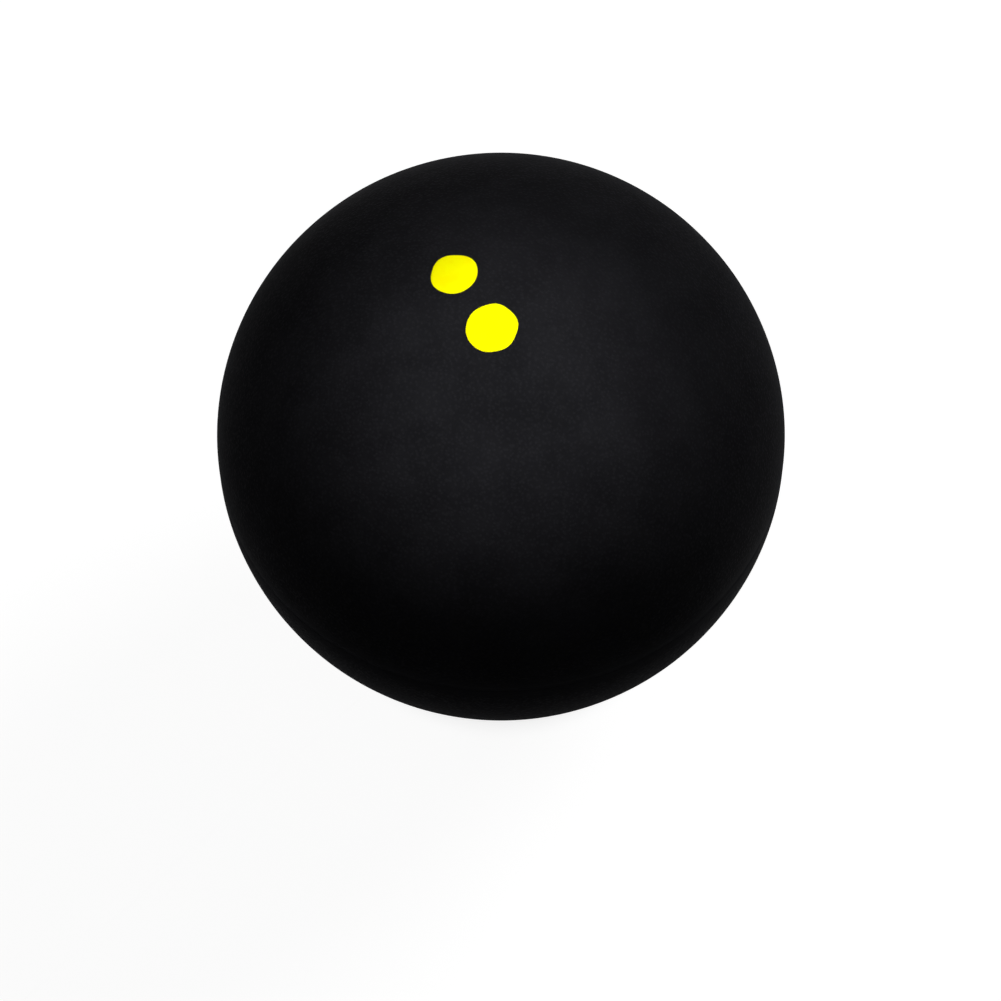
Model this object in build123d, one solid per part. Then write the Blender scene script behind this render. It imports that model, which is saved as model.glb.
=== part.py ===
from build123d import *
import math
import os

# Squash ball: two moulded rubber half shells, bonded along the equator round a sealed air chamber,
# with two painted speed dots near the pole of the upper half. All lengths are in millimetres.
# The origin is the ball's centre, the seam lies in the XY plane and +Z goes through the upper pole.

# Ball and wall
BALL_DIAMETER = 40.0
WALL_THICKNESS = 5.2

# Bonded joint between the two half shells
BOND_THICKNESS = 0.2  # cured cement between the two flat rims
RIM_OUTER_BEVEL = 0.15  # edge break outside, filled with cement and buffed flush with the ball
RIM_INNER_BEVEL = 0.6  # edge break inside, where spare cement is squeezed out
BEAD_HEIGHT = 0.45  # how far the squeezed-out cement stands into the air chamber

# Painted speed dots
SMALL_DOT_DIAMETER = 3.25
LARGE_DOT_DIAMETER = 3.5
DOT_GAP = 1.5  # bare rubber between the two dots, along the surface
DOT_PAIR_OFFSET = 2.1  # from the pole to the middle of the pair, along the surface
DOT_PAIR_BEARING = 121.0  # degrees from +X, the way from the large dot to the small one
PAINT_THICKNESS = 0.05
PAINT_BORDER = 0.2  # width over which a dot's film thins out to its edge

ball_radius = BALL_DIAMETER / 2
chamber_radius = ball_radius - WALL_THICKNESS
rim_height = BOND_THICKNESS / 2


def at_height(radius, height):
    """Point of a sphere's profile in the XZ plane, at a height above the seam plane."""
    return Vector(math.sqrt(radius**2 - height**2), 0, height)


def off_axis(radius, distance):
    """Point of a sphere's profile in the XZ plane, at a distance from the Z axis."""
    return Vector(distance, 0, math.sqrt(radius**2 - distance**2))


def below(point):
    """The point's reflection on the other side of the seam plane."""
    return Vector(point.X, 0, -point.Z)


def sphere_arc(start, end):
    """Arc about the ball's centre between two profile points at the same radius."""
    middle = (start + end).normalized() * start.length
    return ThreePointArc(start, middle, end)


def turned(*profile):
    """Solid of revolution about the Z axis from the lines of a closed profile."""
    return revolve(make_face(profile), Axis.Z)


# Rim of the upper half shell. The shell ends on these points and the cement fills up to them.
outer_edge = at_height(ball_radius, rim_height + RIM_OUTER_BEVEL)
rim_outer = Vector(outer_edge.X - RIM_OUTER_BEVEL, 0, rim_height)
inner_edge = at_height(chamber_radius, rim_height + RIM_INNER_BEVEL)
rim_inner = Vector(inner_edge.X + RIM_INNER_BEVEL, 0, rim_height)


def half_shell():
    """Thick rubber bowl with a flat buffed rim, its outer and inner edges broken."""
    outer_pole = Vector(0, 0, ball_radius)
    inner_pole = Vector(0, 0, chamber_radius)
    return turned(
        sphere_arc(outer_pole, outer_edge),
        Polyline(outer_edge, rim_outer, rim_inner, inner_edge),
        sphere_arc(inner_edge, inner_pole),
        Line(inner_pole, outer_pole),
    )


def cement_ring():
    """Cured cement between the rims: flush with the ball outside, a round bead inside."""
    bead_crest = Vector(chamber_radius - BEAD_HEIGHT, 0, 0)
    return turned(
        Polyline(outer_edge, rim_outer, rim_inner, inner_edge),
        ThreePointArc(inner_edge, bead_crest, below(inner_edge)),
        Polyline(below(inner_edge), below(rim_inner), below(rim_outer), below(outer_edge)),
        sphere_arc(below(outer_edge), outer_edge),
    )


def painted_dot(diameter):
    """Film of paint on the upper pole, even in the middle and thinned out round its border."""
    film_radius = ball_radius + PAINT_THICKNESS
    rubber_pole = Vector(0, 0, ball_radius)
    film_pole = Vector(0, 0, film_radius)
    edge = off_axis(ball_radius, diameter / 2)
    shoulder = off_axis(film_radius, diameter / 2 - PAINT_BORDER)
    along_film = Vector(shoulder.Z, 0, -shoulder.X)
    return turned(
        sphere_arc(film_pole, shoulder),
        TangentArc(shoulder, edge, tangent=along_film),
        sphere_arc(edge, rubber_pole),
        Line(rubber_pole, film_pole),
    )


# The dots sit either side of the pair's middle, half their pitch away along the surface.
dot_pitch = DOT_GAP + (SMALL_DOT_DIAMETER + LARGE_DOT_DIAMETER) / 2
half_pitch_angle = math.degrees(dot_pitch / 2 / ball_radius)
pair_tilt = math.degrees(DOT_PAIR_OFFSET / ball_radius)
pair_place = Rotation(0, 0, DOT_PAIR_BEARING) * Rotation(-pair_tilt, 0, 0)

upper_half = half_shell()
nodes = {
    "upper_half_shell": upper_half,
    "lower_half_shell": Rotation(180, 0, 0) * upper_half,
    "seam_cement_ring": cement_ring(),
    "small_yellow_dot": pair_place * Rotation(0, half_pitch_angle, 0) * painted_dot(SMALL_DOT_DIAMETER),
    "large_yellow_dot": pair_place * Rotation(0, -half_pitch_angle, 0) * painted_dot(LARGE_DOT_DIAMETER),
}

os.makedirs("parts", exist_ok=True)
for name, solid in nodes.items():
    export_step(solid, f"parts/{name}.step")
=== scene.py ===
import math

import bpy
import numpy as np
from mathutils import Matrix, Vector


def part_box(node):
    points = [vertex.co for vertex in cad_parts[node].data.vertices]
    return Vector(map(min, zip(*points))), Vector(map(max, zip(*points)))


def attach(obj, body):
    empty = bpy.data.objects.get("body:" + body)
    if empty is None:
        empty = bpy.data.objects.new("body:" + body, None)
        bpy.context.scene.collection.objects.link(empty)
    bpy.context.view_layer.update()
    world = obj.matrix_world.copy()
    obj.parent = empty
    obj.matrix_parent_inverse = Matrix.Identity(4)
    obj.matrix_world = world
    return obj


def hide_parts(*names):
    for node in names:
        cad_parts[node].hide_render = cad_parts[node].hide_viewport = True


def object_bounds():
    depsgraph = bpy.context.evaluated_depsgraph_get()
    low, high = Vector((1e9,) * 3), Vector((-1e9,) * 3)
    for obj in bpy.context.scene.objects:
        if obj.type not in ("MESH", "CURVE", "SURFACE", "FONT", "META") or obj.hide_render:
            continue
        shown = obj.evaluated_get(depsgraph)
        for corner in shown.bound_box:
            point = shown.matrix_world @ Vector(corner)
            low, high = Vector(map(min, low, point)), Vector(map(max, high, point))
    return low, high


# Squash ball: two rubber half shells, bonded along the equator, with two painted dots near the upper pole.
# Lengths are in metres.

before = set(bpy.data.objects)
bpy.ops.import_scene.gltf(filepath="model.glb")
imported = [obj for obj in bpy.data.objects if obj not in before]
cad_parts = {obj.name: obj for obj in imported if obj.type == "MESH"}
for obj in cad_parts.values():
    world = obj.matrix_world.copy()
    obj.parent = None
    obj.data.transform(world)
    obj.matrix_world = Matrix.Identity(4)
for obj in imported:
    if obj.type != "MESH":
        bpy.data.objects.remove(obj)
cad_low, cad_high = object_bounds()

MM = 0.001
WHITE = (1, 1, 1, 1)

# Ball, from the CAD solids
shell_low, shell_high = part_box("upper_half_shell")
shell_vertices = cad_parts["upper_half_shell"].data.vertices
BALL_RADIUS = shell_high.z
RIM_HEIGHT = shell_low.z
CHAMBER_RADIUS = min(vertex.co.length for vertex in shell_vertices)
INNER_EDGE_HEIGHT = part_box("seam_cement_ring")[1].z
INNER_EDGE_REACH = math.sqrt(CHAMBER_RADIUS**2 - INNER_EDGE_HEIGHT**2)

# Seam between the half shells. The bevel and the bead have the sizes of the CAD solids.
RIM_OUTER_BEVEL = 0.15 * MM
BEAD_HEIGHT = 0.45 * MM  # how far the spare cement stands into the chamber
SEAM_HALF_WIDTH = 0.25 * MM
SEAM_DIP = 0.016 * MM
SEAM_DIP_WIDTH = 0.35 * MM
CEMENT_STEP = 0.006 * MM  # how far the cement lies under the skin beside it
SEAM_RINGS_START = 2.0 * MM  # from this height to the seam, the rings of the mesh lie closer
SEAM_WANDER = 0.035 * MM
SEAM_WANDER_REACH = 2.0 * MM
SEAM_WANDER_WAVES = ((3, 0.5, 0.7), (7, 0.3, 2.1), (16, 0.2, 0.0))  # waves round the ball, share, phase

# Moulded skin: a buffed flat along the seam and a slight unevenness all over
BUFF_DEPTH = 0.025 * MM
BUFF_WIDTH = 1.1 * MM
UNEVEN_HEIGHT = 0.012 * MM
UNEVEN_WAVES = 9
UNEVEN_TURNS = 9.0
UNEVEN_SEED = 11

# Painted dots. Each wave of an outline has a count of peaks, a share of the radius and the first peak's
# bearing in degrees. A wave with no peaks sets the dot's size, and one with a single peak shifts it.
PAINT_THICKNESS = 0.05 * MM
PAINT_BORDER = 0.2 * MM
SMALL_DOT_WAVES = ((0, -0.024, 0), (1, 0.028, 70), (3, 0.012, 14), (4, 0.018, 32), (5, 0.011, -21))
LARGE_DOT_WAVES = ((0, -0.018, 0), (1, 0.017, -107), (2, 0.022, 44), (5, 0.009, 11), (6, 0.010, 13))

# Mesh fineness
SEGMENTS = 288
CROWN_STEPS = 86
SEAM_STEPS = 18
CHAMBER_STEPS = 24
CEMENT_STEPS = 9
BEAD_STEPS = 11
DOT_SEGMENTS = 144
DOT_STEPS = 18
DOT_BORDER_STEPS = 9
SHARP_DEGREES = 40
DOT_SHARP_DEGREES = 60

# Rubber
RUBBER_DARK = (0.0082, 0.0082, 0.0095)
RUBBER_LIGHT = (0.0150, 0.0150, 0.0172)
RUBBER_SPECULAR = 0.004
RUBBER_SHEEN = 0.02
RUBBER_SHEEN_ROUGHNESS = 0.4
HOLLOW_ROUGHNESS = 0.78
CROWN_ROUGHNESS = 0.7
PEBBLE_SIZE = 0.24 * MM
PEBBLE_SMOOTHNESS = 0.6
PEBBLE_CROWN = 0.05  # shares of a pebble's size, from its middle, where its slope starts and ends
PEBBLE_FOOT = 0.6
PEBBLE_HEIGHT = 0.025 * MM
PEBBLE_STRENGTH = 0.8
HOLLOW_SHADE_AND_BUFF_SHARE = 0.55  # share of the change in tone from the painted shade in the pebble's hollows and the lighter buffed band, beside the mottling
MOTTLE_SIZE = 3.5 * MM
GRAIN_SIZE = 0.1 * MM
GRAIN_HEIGHT = 0.01 * MM
GRAIN_STRENGTH = 0.4
BUFFED_END = 0.5 * MM  # distance from the seam up to which the rubber is buffed smooth
MOULDED_START = 1.6 * MM  # distance from the seam at which the pebble is whole
BUFFED_RELIEF = 0.2  # share of the pebble that is left in the buffed band
BUFFED_TONE = 1.3  # lighter than the crowns of the pebble, whose tone is 1
BUFFING_STRETCH = 10  # how far the buffing marks are drawn out round the ball

# Cement
CEMENT_DARK = (0.0089, 0.0089, 0.0103)
CEMENT_LIGHT = (0.0121, 0.0121, 0.0139)
CEMENT_SPECULAR = 0.004
CEMENT_LOW_ROUGHNESS = 0.68
CEMENT_HIGH_ROUGHNESS = 0.76
STREAK_SIZE = 0.6 * MM
CEMENT_GRAIN_SIZE = 0.2 * MM
CEMENT_GRAIN_HEIGHT = 0.01 * MM
CEMENT_GRAIN_STRENGTH = 0.3

# Paint
PAINT_DEEP = (0.96, 0.88, 0.0004)
PAINT_BRIGHT = (0.97, 0.95, 0.0008)
PAINT_SPECULAR = 0.005
PAINT_LOW_ROUGHNESS = 0.5
PAINT_HIGH_ROUGHNESS = 0.62
PAINT_TONE_SIZE = 1.4 * MM
PAINT_GLOSS_SIZE = 0.4 * MM
PEEL_SIZE = 0.25 * MM
PEEL_HEIGHT = 0.012 * MM
PEEL_STRENGTH = 0.35

# Floor and surround
FLOOR_HALF_WIDTH = 3.0
FLOOR_GREY = (0.35, 0.35, 0.35, 1)
FLOOR_NEAR_WHITENESS = 0.94
FLOOR_NEAR = 0.05  # distances from the ball between which the floor goes to full white
FLOOR_FAR = 0.3
CONTACT_REACH = 4.5 * MM
CONTACT_SHADE = 0.35
CONTACT_SAMPLES = 16
SURROUND_LIGHT = 0.03

# Lamps
SOFTBOX_DISTANCE = 0.8
SOFTBOX_SIZE = 0.4
SNOOT_DISTANCE = 0.5
SNOOT_SIZE = 0.012
SNOOT_BLEND = 0.7

# Camera, from the ball's place and size in the photograph
IMAGE_PIXELS = 1001
BALL_CENTRE_PIXEL = (500.95, 436.95)
BALL_RADIUS_PIXELS = 284.0
CAMERA_ELEVATION = math.radians(59.8)
CAMERA_ROLL = math.radians(-0.5)
CAMERA_LENS = 135.0
CAMERA_SENSOR = 36.0
CAMERA_CLIP_START = 0.01


def uneven_waves():
    """Wave vectors and phases of the skin's unevenness, the same on every run."""
    generator = np.random.default_rng(UNEVEN_SEED)
    vectors = generator.normal(size=(UNEVEN_WAVES, 3)) * UNEVEN_TURNS
    phases = generator.uniform(0, 2 * math.pi, UNEVEN_WAVES)
    return vectors, phases


WAVE_VECTORS, WAVE_PHASES = uneven_waves()


def skin_radius(directions):
    """Distance of the ball's outer skin from its centre along unit directions."""
    waves = np.sin(directions @ WAVE_VECTORS.T + WAVE_PHASES).mean(axis=1)
    height = directions[:, 2] * BALL_RADIUS
    buffed = BUFF_DEPTH * np.exp(-(height / BUFF_WIDTH) ** 2)
    dip = SEAM_DIP * np.exp(-(height / SEAM_DIP_WIDTH) ** 2)
    return BALL_RADIUS + UNEVEN_HEIGHT * waves - buffed - dip


def on_skin(points, raised=0.0):
    """Moves points along their directions from the centre onto the skin, or to a height over it."""
    directions = points / np.linalg.norm(points, axis=1)[:, None]
    return directions * (skin_radius(directions) + raised)[:, None]


def seam_wander(points):
    """Shifts points near the seam up and down a little, as a hand-set mould line runs."""
    bearings = np.arctan2(points[:, 1], points[:, 0])
    wave = sum(share * np.sin(count * bearings + phase) for count, share, phase in SEAM_WANDER_WAVES)
    reach = np.clip(1 - np.abs(points[:, 2]) / SEAM_WANDER_REACH, 0, 1)
    ease = reach * reach * (3 - 2 * reach)
    distance = np.linalg.norm(points, axis=1)
    moved = points.copy()
    moved[:, 2] += SEAM_WANDER * wave * ease
    return moved * (distance / np.linalg.norm(moved, axis=1))[:, None]


def sphere_profile(radius, tilts):
    """Points of a sphere's profile at angles from the Z axis: a distance from the axis and a height."""
    return [(radius * math.sin(tilt), radius * math.cos(tilt)) for tilt in tilts]


def rim_profile():
    """Flat rim of the upper half shell, from its outer bevel to its inner one."""
    inner_bevel = INNER_EDGE_HEIGHT - RIM_HEIGHT
    return [(BALL_RADIUS - RIM_OUTER_BEVEL, RIM_HEIGHT), (INNER_EDGE_REACH + inner_bevel, RIM_HEIGHT)]


def ring_points(profile):
    """Turns profile points, each a distance from the Z axis and a height, into rings."""
    bearings = np.arange(SEGMENTS) * 2 * math.pi / SEGMENTS
    rings = [
        np.column_stack((reach * np.cos(bearings), reach * np.sin(bearings), np.full(SEGMENTS, height)))
        for reach, height in profile
    ]
    return np.concatenate(rings)


def band_faces(start, rows, segments, closed=False):
    """Quads between each ring of points and the next, and from the last to the first if closed."""
    faces = []
    for row in range(rows if closed else rows - 1):
        low = start + row * segments
        high = start + (row + 1) % rows * segments
        for step in range(segments):
            following = (step + 1) % segments
            faces.append((low + step, high + step, high + following, low + following))
    return faces


def capped_rings(first, rings, last, segments):
    """Points and faces of a closed skin that runs from one point over rings to another point."""
    points = np.concatenate((first, rings, last))
    faces = band_faces(1, len(rings) // segments, segments)
    end = len(points) - 1
    for step in range(segments):
        following = (step + 1) % segments
        faces.append((0, 1 + step, 1 + following))
        faces.append((end, end - segments + following, end - segments + step))
    return points, faces


def mesh_piece(name, points, faces, material, sharp_degrees=SHARP_DEGREES):
    """Closed mesh with smooth shading, apart from its sharp edges."""
    mesh = bpy.data.meshes.new(name)
    mesh.from_pydata([tuple(point) for point in points], [], faces)
    mesh.shade_smooth()
    mesh.set_sharp_from_angle(angle=math.radians(sharp_degrees))
    mesh.materials.append(material)
    piece = bpy.data.objects.new(name, mesh)
    bpy.context.scene.collection.objects.link(piece)
    return piece


def half_shell(name, side, material):
    """Rubber bowl: crown, seam edge, flat rim and chamber wall. Side is 1 above the seam, -1 below."""
    crown = np.linspace(0, math.acos(SEAM_RINGS_START / BALL_RADIUS), CROWN_STEPS)[1:]
    closing = 1 - np.linspace(1, 0, SEAM_STEPS)[1:] ** 2
    heights = SEAM_RINGS_START + (SEAM_HALF_WIDTH - SEAM_RINGS_START) * closing
    edge = np.arccos(heights / BALL_RADIUS)
    skin = on_skin(ring_points(sphere_profile(BALL_RADIUS, np.concatenate((crown, edge)))))
    wall = np.linspace(math.acos(INNER_EDGE_HEIGHT / CHAMBER_RADIUS), 0, CHAMBER_STEPS)[:-1]
    inside = ring_points(rim_profile() + sphere_profile(CHAMBER_RADIUS, wall))
    rings = np.concatenate((skin, inside))
    pole = np.array([[0, 0, 1.0]])
    points, faces = capped_rings(on_skin(pole), rings, CHAMBER_RADIUS * pole, SEGMENTS)
    points[:, 2] *= side
    if side < 0:
        faces = [tuple(reversed(face)) for face in faces]
    return mesh_piece(name, seam_wander(points), faces, material)


def cement_ring(name, material):
    """Cured cement between the rims: a dipped line outside and a round bead inside."""
    heights = np.linspace(SEAM_HALF_WIDTH, -SEAM_HALF_WIDTH, CEMENT_STEPS)
    line = ring_points(sphere_profile(BALL_RADIUS, np.arccos(heights / BALL_RADIUS)))
    upper_rim = rim_profile()
    lower_rim = [(reach, -height) for reach, height in upper_rim]
    bead_depth = BEAD_HEIGHT - (CHAMBER_RADIUS - INNER_EDGE_REACH)
    bead = [
        (INNER_EDGE_REACH - bead_depth * math.cos(turn), INNER_EDGE_HEIGHT * math.sin(turn))
        for turn in np.linspace(-math.pi / 2, math.pi / 2, BEAD_STEPS)
    ]
    inside = ring_points(lower_rim + bead + upper_rim[::-1])
    points = np.concatenate((on_skin(line, -CEMENT_STEP), inside))
    faces = band_faces(0, len(points) // SEGMENTS, SEGMENTS, closed=True)
    return mesh_piece(name, seam_wander(points), faces, material)


def dot_frame(node):
    """A dot's own axes and its radius, from the box of its CAD solid."""
    low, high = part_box(node)
    axis = ((low + high) / 2).normalized()
    radius = (high.x - low.x) / 2 / math.sqrt(1 - axis.x**2)
    east = (Vector((1, 0, 0)) - axis * axis.x).normalized()
    north = axis.cross(east)
    return np.array(axis), np.array(east), np.array(north), radius


def painted_dot(name, node, waves, material):
    """Closed film of paint on the skin, with a slightly uneven outline and a rounded border."""
    axis, east, north, radius = dot_frame(node)
    bearings = np.arange(DOT_SEGMENTS) * 2 * math.pi / DOT_SEGMENTS
    sideways = np.outer(np.cos(bearings), east) + np.outer(np.sin(bearings), north)
    outline = np.ones(DOT_SEGMENTS)
    for count, share, peak in waves:
        outline += share * np.cos(count * (bearings - math.radians(peak)))

    def ring(share, height):
        """Points at a share of the dot's radius, raised over the skin."""
        tilt = (share * radius * outline / BALL_RADIUS)[:, None]
        return on_skin(np.cos(tilt) * axis + np.sin(tilt) * sideways, height)

    border = PAINT_BORDER / radius
    level = np.linspace(0, 1 - border, DOT_STEPS)[1:]
    rings = [ring(share, PAINT_THICKNESS) for share in level]
    for turn in np.linspace(0, math.pi / 2, DOT_BORDER_STEPS)[1:]:
        rings.append(ring(1 - border + border * math.sin(turn), PAINT_THICKNESS * math.cos(turn)))
    rings += [ring(share, 0.0) for share in level[::-1]]
    middle = axis[None, :]
    top = on_skin(middle, PAINT_THICKNESS)
    points, faces = capped_rings(top, np.concatenate(rings), on_skin(middle), DOT_SEGMENTS)
    return mesh_piece(name, points, faces, material, DOT_SHARP_DEGREES)


class Nodes:
    """Short ways to add and link the shader nodes of one material or world.

    A mix node has its factor at input 0, its numbers at 2 and 3, and its colours at 6 and 7.
    """

    def __init__(self, owner):
        owner.use_nodes = True
        self.tree = owner.node_tree
        self.tree.nodes.clear()

    def add(self, kind, settings=None, **inputs):
        """Adds a node, sets its properties, and sets or links its inputs by name."""
        node = self.tree.nodes.new(kind)
        for key, value in (settings or {}).items():
            setattr(node, key, value)
        for key, value in inputs.items():
            self.give(node, key.replace("_", " "), value)
        return node

    def give(self, node, key, value):
        """Links a socket to an input, given by name or number, or sets the input's own value."""
        if isinstance(value, bpy.types.NodeSocket):
            self.tree.links.new(value, node.inputs[key])
        else:
            node.inputs[key].default_value = value

    def calculate(self, operation, first, second=0.0):
        """Result of an operation on one or two numbers."""
        node = self.add("ShaderNodeMath", {"operation": operation})
        self.give(node, 0, first)
        self.give(node, 1, second)
        return node.outputs[0]

    def number_mix(self, factor, first, second):
        """Number that goes from the first to the second with a factor."""
        mix = self.add("ShaderNodeMix", {"data_type": "FLOAT"})
        self.give(mix, 0, factor)
        self.give(mix, 2, first)
        self.give(mix, 3, second)
        return mix.outputs[0]

    def colour_mix(self, factor, first, second):
        """Colour that goes from the first to the second with a factor."""
        mix = self.add("ShaderNodeMix", {"data_type": "RGBA"})
        self.give(mix, 0, factor)
        self.give(mix, 6, (*first, 1))
        self.give(mix, 7, (*second, 1))
        return mix.outputs[2]

    def number_between(self, value, low, high, start=0.0, end=1.0):
        """Number that eases from low to high as a value goes from start to end."""
        settings = {"interpolation_type": "SMOOTHSTEP"}
        span = {"From_Min": start, "From_Max": end, "To_Min": low, "To_Max": high}
        return self.add("ShaderNodeMapRange", settings, Value=value, **span).outputs["Result"]

    def noise(self, place, feature, detail=2.0, roughness=0.5):
        """Noise whose blotches are about one feature across, in metres."""
        texture = self.add("ShaderNodeTexNoise", Vector=place, Scale=1 / feature)
        self.give(texture, "Detail", detail)
        self.give(texture, "Roughness", roughness)
        return texture.outputs["Fac"]

    def bump(self, height, strength, distance):
        """Bump node for a height from 0 to 1 that stands for a distance in metres."""
        return self.add("ShaderNodeBump", Height=height, Strength=strength, Distance=distance)

    def surface(self, **inputs):
        """Surface shader with these inputs, as the material's output."""
        shader = self.add("ShaderNodeBsdfPrincipled", **inputs)
        self.add("ShaderNodeOutputMaterial", Surface=shader.outputs["BSDF"])


def rubber_material(name):
    """Black rubber: moulded pebble with painted shade in its hollows, faint mottling, and a lighter band
    along the seam that is buffed smooth.
    """
    material = bpy.data.materials.new(name)
    nodes = Nodes(material)
    place = nodes.add("ShaderNodeTexCoord").outputs["Object"]
    height = nodes.add("ShaderNodeSeparateXYZ", Vector=place).outputs["Z"]
    off_seam = nodes.calculate("ABSOLUTE", height)
    moulded = nodes.number_between(off_seam, BUFFED_RELIEF, 1.0, BUFFED_END, MOULDED_START)

    pebble = nodes.add("ShaderNodeTexVoronoi", {"feature": "SMOOTH_F1"}, Vector=place)
    nodes.give(pebble, "Scale", 1 / PEBBLE_SIZE)
    nodes.give(pebble, "Smoothness", PEBBLE_SMOOTHNESS)
    crown = nodes.number_between(pebble.outputs["Distance"], 1.0, 0.0, PEBBLE_CROWN, PEBBLE_FOOT)
    relief = nodes.calculate("MULTIPLY", crown, moulded)
    coarse = nodes.bump(relief, PEBBLE_STRENGTH, PEBBLE_HEIGHT)

    drawn_out = (1 / BUFFING_STRETCH, 1 / BUFFING_STRETCH, 1)
    round_ball = nodes.add("ShaderNodeMapping", Vector=place, Scale=drawn_out).outputs["Vector"]
    buffing = nodes.noise(round_ball, GRAIN_SIZE)
    grain = nodes.noise(place, GRAIN_SIZE, detail=3.0)
    rubbed = nodes.number_mix(moulded, buffing, grain)
    fine = nodes.bump(rubbed, GRAIN_STRENGTH, GRAIN_HEIGHT)
    nodes.give(fine, "Normal", coarse.outputs["Normal"])

    blotches = nodes.noise(place, MOTTLE_SIZE, detail=4.0, roughness=0.6)
    mottle = nodes.number_between(blotches, 0.0, 1.0, start=0.3, end=0.7)
    # Painted shade: the pebble's hollows are darker in colour than its crowns. The buffed band is lighter
    # rubber.
    buffed_tone_and_hollow_shade = nodes.number_mix(moulded, BUFFED_TONE, crown)
    tone = nodes.number_mix(HOLLOW_SHADE_AND_BUFF_SHARE, mottle, buffed_tone_and_hollow_shade)
    nodes.surface(
        Base_Color=nodes.colour_mix(tone, RUBBER_DARK, RUBBER_LIGHT),
        Roughness=nodes.number_between(relief, HOLLOW_ROUGHNESS, CROWN_ROUGHNESS),
        Specular_IOR_Level=RUBBER_SPECULAR,
        Sheen_Weight=RUBBER_SHEEN,
        Sheen_Roughness=RUBBER_SHEEN_ROUGHNESS,
        Normal=fine.outputs["Normal"],
    )
    return material


def cement_material(name):
    """Cured rubber cement: smoother than the moulded skin and a shade darker than its buffed band."""
    material = bpy.data.materials.new(name)
    nodes = Nodes(material)
    place = nodes.add("ShaderNodeTexCoord").outputs["Object"]
    streak = nodes.noise(place, STREAK_SIZE, detail=3.0)
    grain = nodes.noise(place, CEMENT_GRAIN_SIZE)
    bump = nodes.bump(grain, CEMENT_GRAIN_STRENGTH, CEMENT_GRAIN_HEIGHT)
    roughness = nodes.number_between(
        streak, CEMENT_LOW_ROUGHNESS, CEMENT_HIGH_ROUGHNESS, start=0.3, end=0.7
    )
    nodes.surface(
        Base_Color=nodes.colour_mix(streak, CEMENT_DARK, CEMENT_LIGHT),
        Roughness=roughness,
        Specular_IOR_Level=CEMENT_SPECULAR,
        Normal=bump.outputs["Normal"],
    )
    return material


def paint_material(name):
    """Printed yellow paint: thick and even, with a slight change of tone and a fine peel."""
    material = bpy.data.materials.new(name)
    nodes = Nodes(material)
    place = nodes.add("ShaderNodeTexCoord").outputs["Object"]
    blotches = nodes.noise(place, PAINT_TONE_SIZE, detail=3.0)
    tone = nodes.number_between(blotches, 0.0, 1.0, start=0.35, end=0.65)
    gloss = nodes.noise(place, PAINT_GLOSS_SIZE)
    roughness = nodes.number_between(
        gloss, PAINT_LOW_ROUGHNESS, PAINT_HIGH_ROUGHNESS, start=0.3, end=0.7
    )
    peel = nodes.bump(nodes.noise(place, PEEL_SIZE, detail=3.0), PEEL_STRENGTH, PEEL_HEIGHT)
    nodes.surface(
        Base_Color=nodes.colour_mix(tone, PAINT_DEEP, PAINT_BRIGHT),
        Roughness=roughness,
        Specular_IOR_Level=PAINT_SPECULAR,
        Normal=peel.outputs["Normal"],
    )
    return material


def seen_directly(nodes):
    """One for rays that show the background itself: camera, glossy and transmission rays."""
    path = nodes.add("ShaderNodeLightPath").outputs
    camera_or_glossy = nodes.calculate("MAXIMUM", path["Is Camera Ray"], path["Is Glossy Ray"])
    return nodes.calculate("MAXIMUM", camera_or_glossy, path["Is Transmission Ray"])


def floor_material(name):
    """White floor that keeps the ball's shadow, with a painted contact shadow under the ball, and that is
    clear from below.
    """
    material = bpy.data.materials.new(name)
    nodes = Nodes(material)
    place = nodes.add("ShaderNodeTexCoord").outputs["Object"]
    reach = nodes.add("ShaderNodeVectorMath", {"operation": "LENGTH"}, Vector=place).outputs["Value"]
    whiteness = nodes.number_between(reach, FLOOR_NEAR_WHITENESS, 1.0, FLOOR_NEAR, FLOOR_FAR)
    # Painted contact shadow: occlusion near the ball darkens the floor's white glow.
    occlusion = nodes.add(
        "ShaderNodeAmbientOcclusion", {"samples": CONTACT_SAMPLES}, Distance=CONTACT_REACH
    )
    contact = nodes.number_between(occlusion.outputs["AO"], CONTACT_SHADE, 1.0)
    shaded = nodes.calculate("MULTIPLY", whiteness, contact)
    strength = nodes.calculate("MULTIPLY", seen_directly(nodes), shaded)

    plain = nodes.add("ShaderNodeBsdfDiffuse", Color=FLOOR_GREY)
    white = nodes.add("ShaderNodeEmission", Color=WHITE, Strength=strength)
    both = nodes.add("ShaderNodeAddShader")
    nodes.give(both, 0, plain.outputs[0])
    nodes.give(both, 1, white.outputs[0])
    clear = nodes.add("ShaderNodeBsdfTransparent")
    from_below = nodes.add("ShaderNodeNewGeometry").outputs["Backfacing"]
    one_sided = nodes.add("ShaderNodeMixShader", Fac=from_below)
    nodes.give(one_sided, 1, both.outputs[0])
    nodes.give(one_sided, 2, clear.outputs[0])
    nodes.add("ShaderNodeOutputMaterial", Surface=one_sided.outputs[0])
    return material


def white_world():
    """Dim surround that shows as plain white."""
    world = bpy.data.worlds.new("surround")
    nodes = Nodes(world)
    strength = nodes.number_between(seen_directly(nodes), SURROUND_LIGHT, 1.0)
    background = nodes.add("ShaderNodeBackground", Color=WHITE, Strength=strength)
    nodes.add("ShaderNodeOutputWorld", Surface=background.outputs[0])
    bpy.context.scene.world = world


def add_floor():
    """Flat floor under the ball."""
    half = FLOOR_HALF_WIDTH
    corners = [(-half, -half, 0), (half, -half, 0), (half, half, 0), (-half, half, 0)]
    mesh = bpy.data.meshes.new("floor")
    mesh.from_pydata(corners, [], [(0, 1, 2, 3)])
    mesh.materials.append(floor_material("white_floor"))
    floor = bpy.data.objects.new("floor", mesh)
    floor.location.z = cad_low.z
    bpy.context.scene.collection.objects.link(floor)


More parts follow.
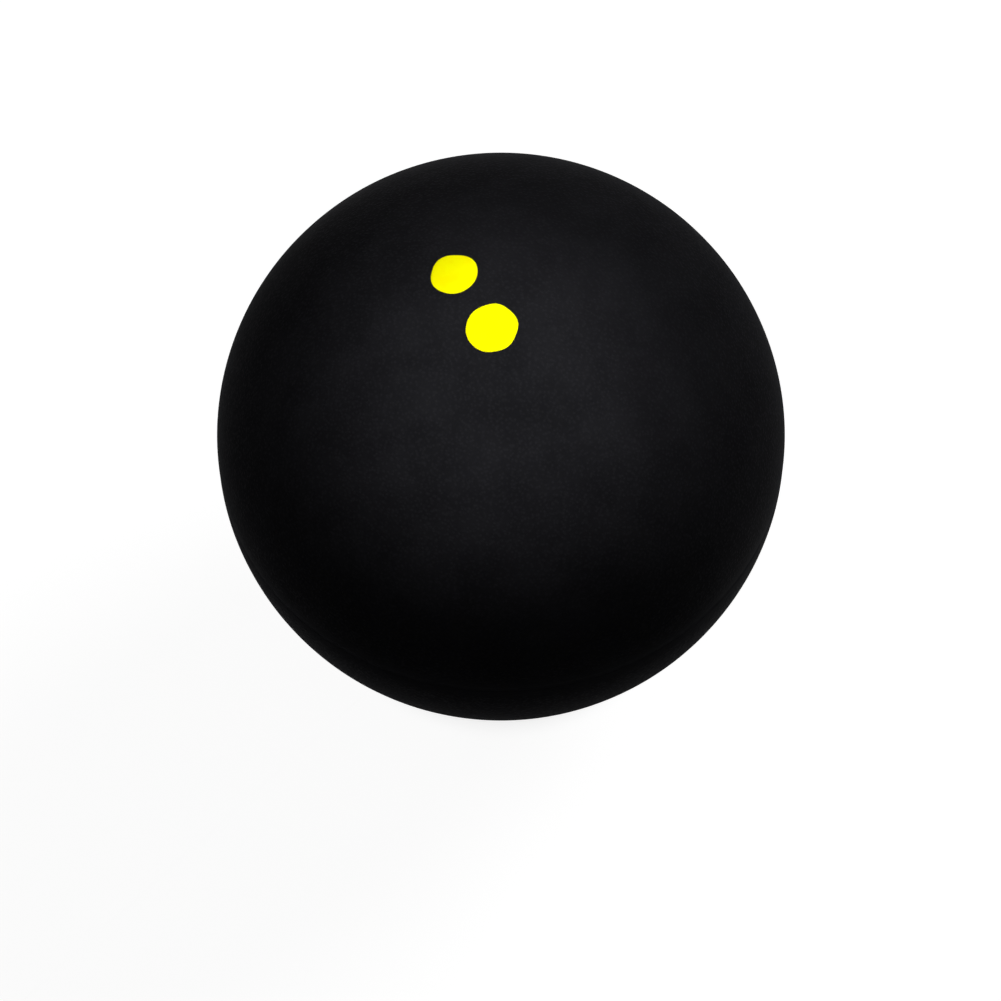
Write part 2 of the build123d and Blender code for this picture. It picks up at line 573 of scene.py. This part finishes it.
def hang_lamp(light, bearing, height, distance):
    """Hangs a lamp that faces the ball. Bearing 0 is the camera's side and 90 the picture's right."""
    bearing = math.radians(bearing)
    height = math.radians(height)
    level_way = Vector((math.sin(bearing), -math.cos(bearing), 0))
    direction = level_way * math.cos(height) + Vector((0, 0, math.sin(height)))
    lamp = bpy.data.objects.new(light.name, light)
    lamp.location = direction * distance
    lamp.rotation_euler = direction.to_track_quat("Z", "Y").to_euler()
    lamp.visible_camera = False
    bpy.context.scene.collection.objects.link(lamp)


def add_softbox(name, bearing, height, level):
    """Round softbox. Level is how bright it makes a white surface at the ball that faces it."""
    light = bpy.data.lights.new(name, "AREA")
    light.shape = "DISK"
    light.size = SOFTBOX_SIZE
    half_angle = math.atan(SOFTBOX_SIZE / 2 / SOFTBOX_DISTANCE)
    radiance = level / math.sin(half_angle) ** 2
    light.energy = radiance * math.pi * math.pi * (SOFTBOX_SIZE / 2) ** 2
    hang_lamp(light, bearing, height, SOFTBOX_DISTANCE)


def add_snoot(name, bearing, height, pool, level):
    """Small lamp in a snoot, whose pool of light fades out over the ball. Pool is its radius there."""
    light = bpy.data.lights.new(name, "SPOT")
    light.spot_size = 2 * math.atan(pool / SNOOT_DISTANCE)
    light.spot_blend = SNOOT_BLEND
    light.shadow_soft_size = SNOOT_SIZE / 2
    light.energy = level * 4 * math.pi**2 * SNOOT_DISTANCE**2
    hang_lamp(light, bearing, height, SNOOT_DISTANCE)


def add_camera():
    """Camera at the photograph's angle, turned so that the ball falls where the photograph has it."""
    towards = Vector((0, -math.cos(CAMERA_ELEVATION), math.sin(CAMERA_ELEVATION)))
    right = Matrix.Rotation(CAMERA_ROLL, 3, towards) @ Vector((1, 0, 0))
    up = towards.cross(right)
    focal_pixels = IMAGE_PIXELS * CAMERA_LENS / CAMERA_SENSOR
    distance = BALL_RADIUS / math.sin(math.atan(BALL_RADIUS_PIXELS / focal_pixels))
    aside = (BALL_CENTRE_PIXEL[0] - IMAGE_PIXELS / 2) / focal_pixels
    above = (IMAGE_PIXELS / 2 - BALL_CENTRE_PIXEL[1]) / focal_pixels
    pitch = Matrix.Rotation(-math.atan(above), 3, right)
    turn = Matrix.Rotation(math.atan(aside), 3, up)
    facing_ball = Matrix((right, up, towards)).transposed()
    camera = bpy.data.objects.new("camera", bpy.data.cameras.new("camera"))
    camera.data.lens = CAMERA_LENS
    camera.data.sensor_width = CAMERA_SENSOR
    camera.data.clip_start = CAMERA_CLIP_START
    camera.location = towards * distance
    camera.rotation_euler = (turn @ pitch @ facing_ball).to_euler()
    bpy.context.scene.collection.objects.link(camera)
    bpy.context.scene.camera = camera


def stand_for(piece, node):
    """Lets a piece ride on the ball and stand for a CAD node, which it hides."""
    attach(piece, "root")
    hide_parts(node)


# Ball
rubber = rubber_material("moulded_rubber")
cement = cement_material("cured_cement")
paint = paint_material("yellow_paint")
upper_shell = half_shell("upper_shell", 1, rubber)
lower_shell = half_shell("lower_shell", -1, rubber)
seam_cement = cement_ring("seam_cement", cement)
small_dot = painted_dot("small_dot", "small_yellow_dot", SMALL_DOT_WAVES, paint)
large_dot = painted_dot("large_dot", "large_yellow_dot", LARGE_DOT_WAVES, paint)
stand_for(upper_shell, "upper_half_shell")
stand_for(lower_shell, "lower_half_shell")
stand_for(seam_cement, "seam_cement_ring")
stand_for(small_dot, "small_yellow_dot")
stand_for(large_dot, "large_yellow_dot")

# Floor, surround, camera and lamps
add_floor()
white_world()
add_camera()
add_snoot("key", bearing=0, height=71, pool=0.75 * BALL_RADIUS, level=1.08)
add_softbox("right", bearing=130, height=25, level=0.38)
add_softbox("left", bearing=240, height=20, level=0.1)
add_snoot("back", bearing=190, height=0, pool=0.65 * BALL_RADIUS, level=0.65)
bpy.context.scene.view_settings.view_transform = "Standard"
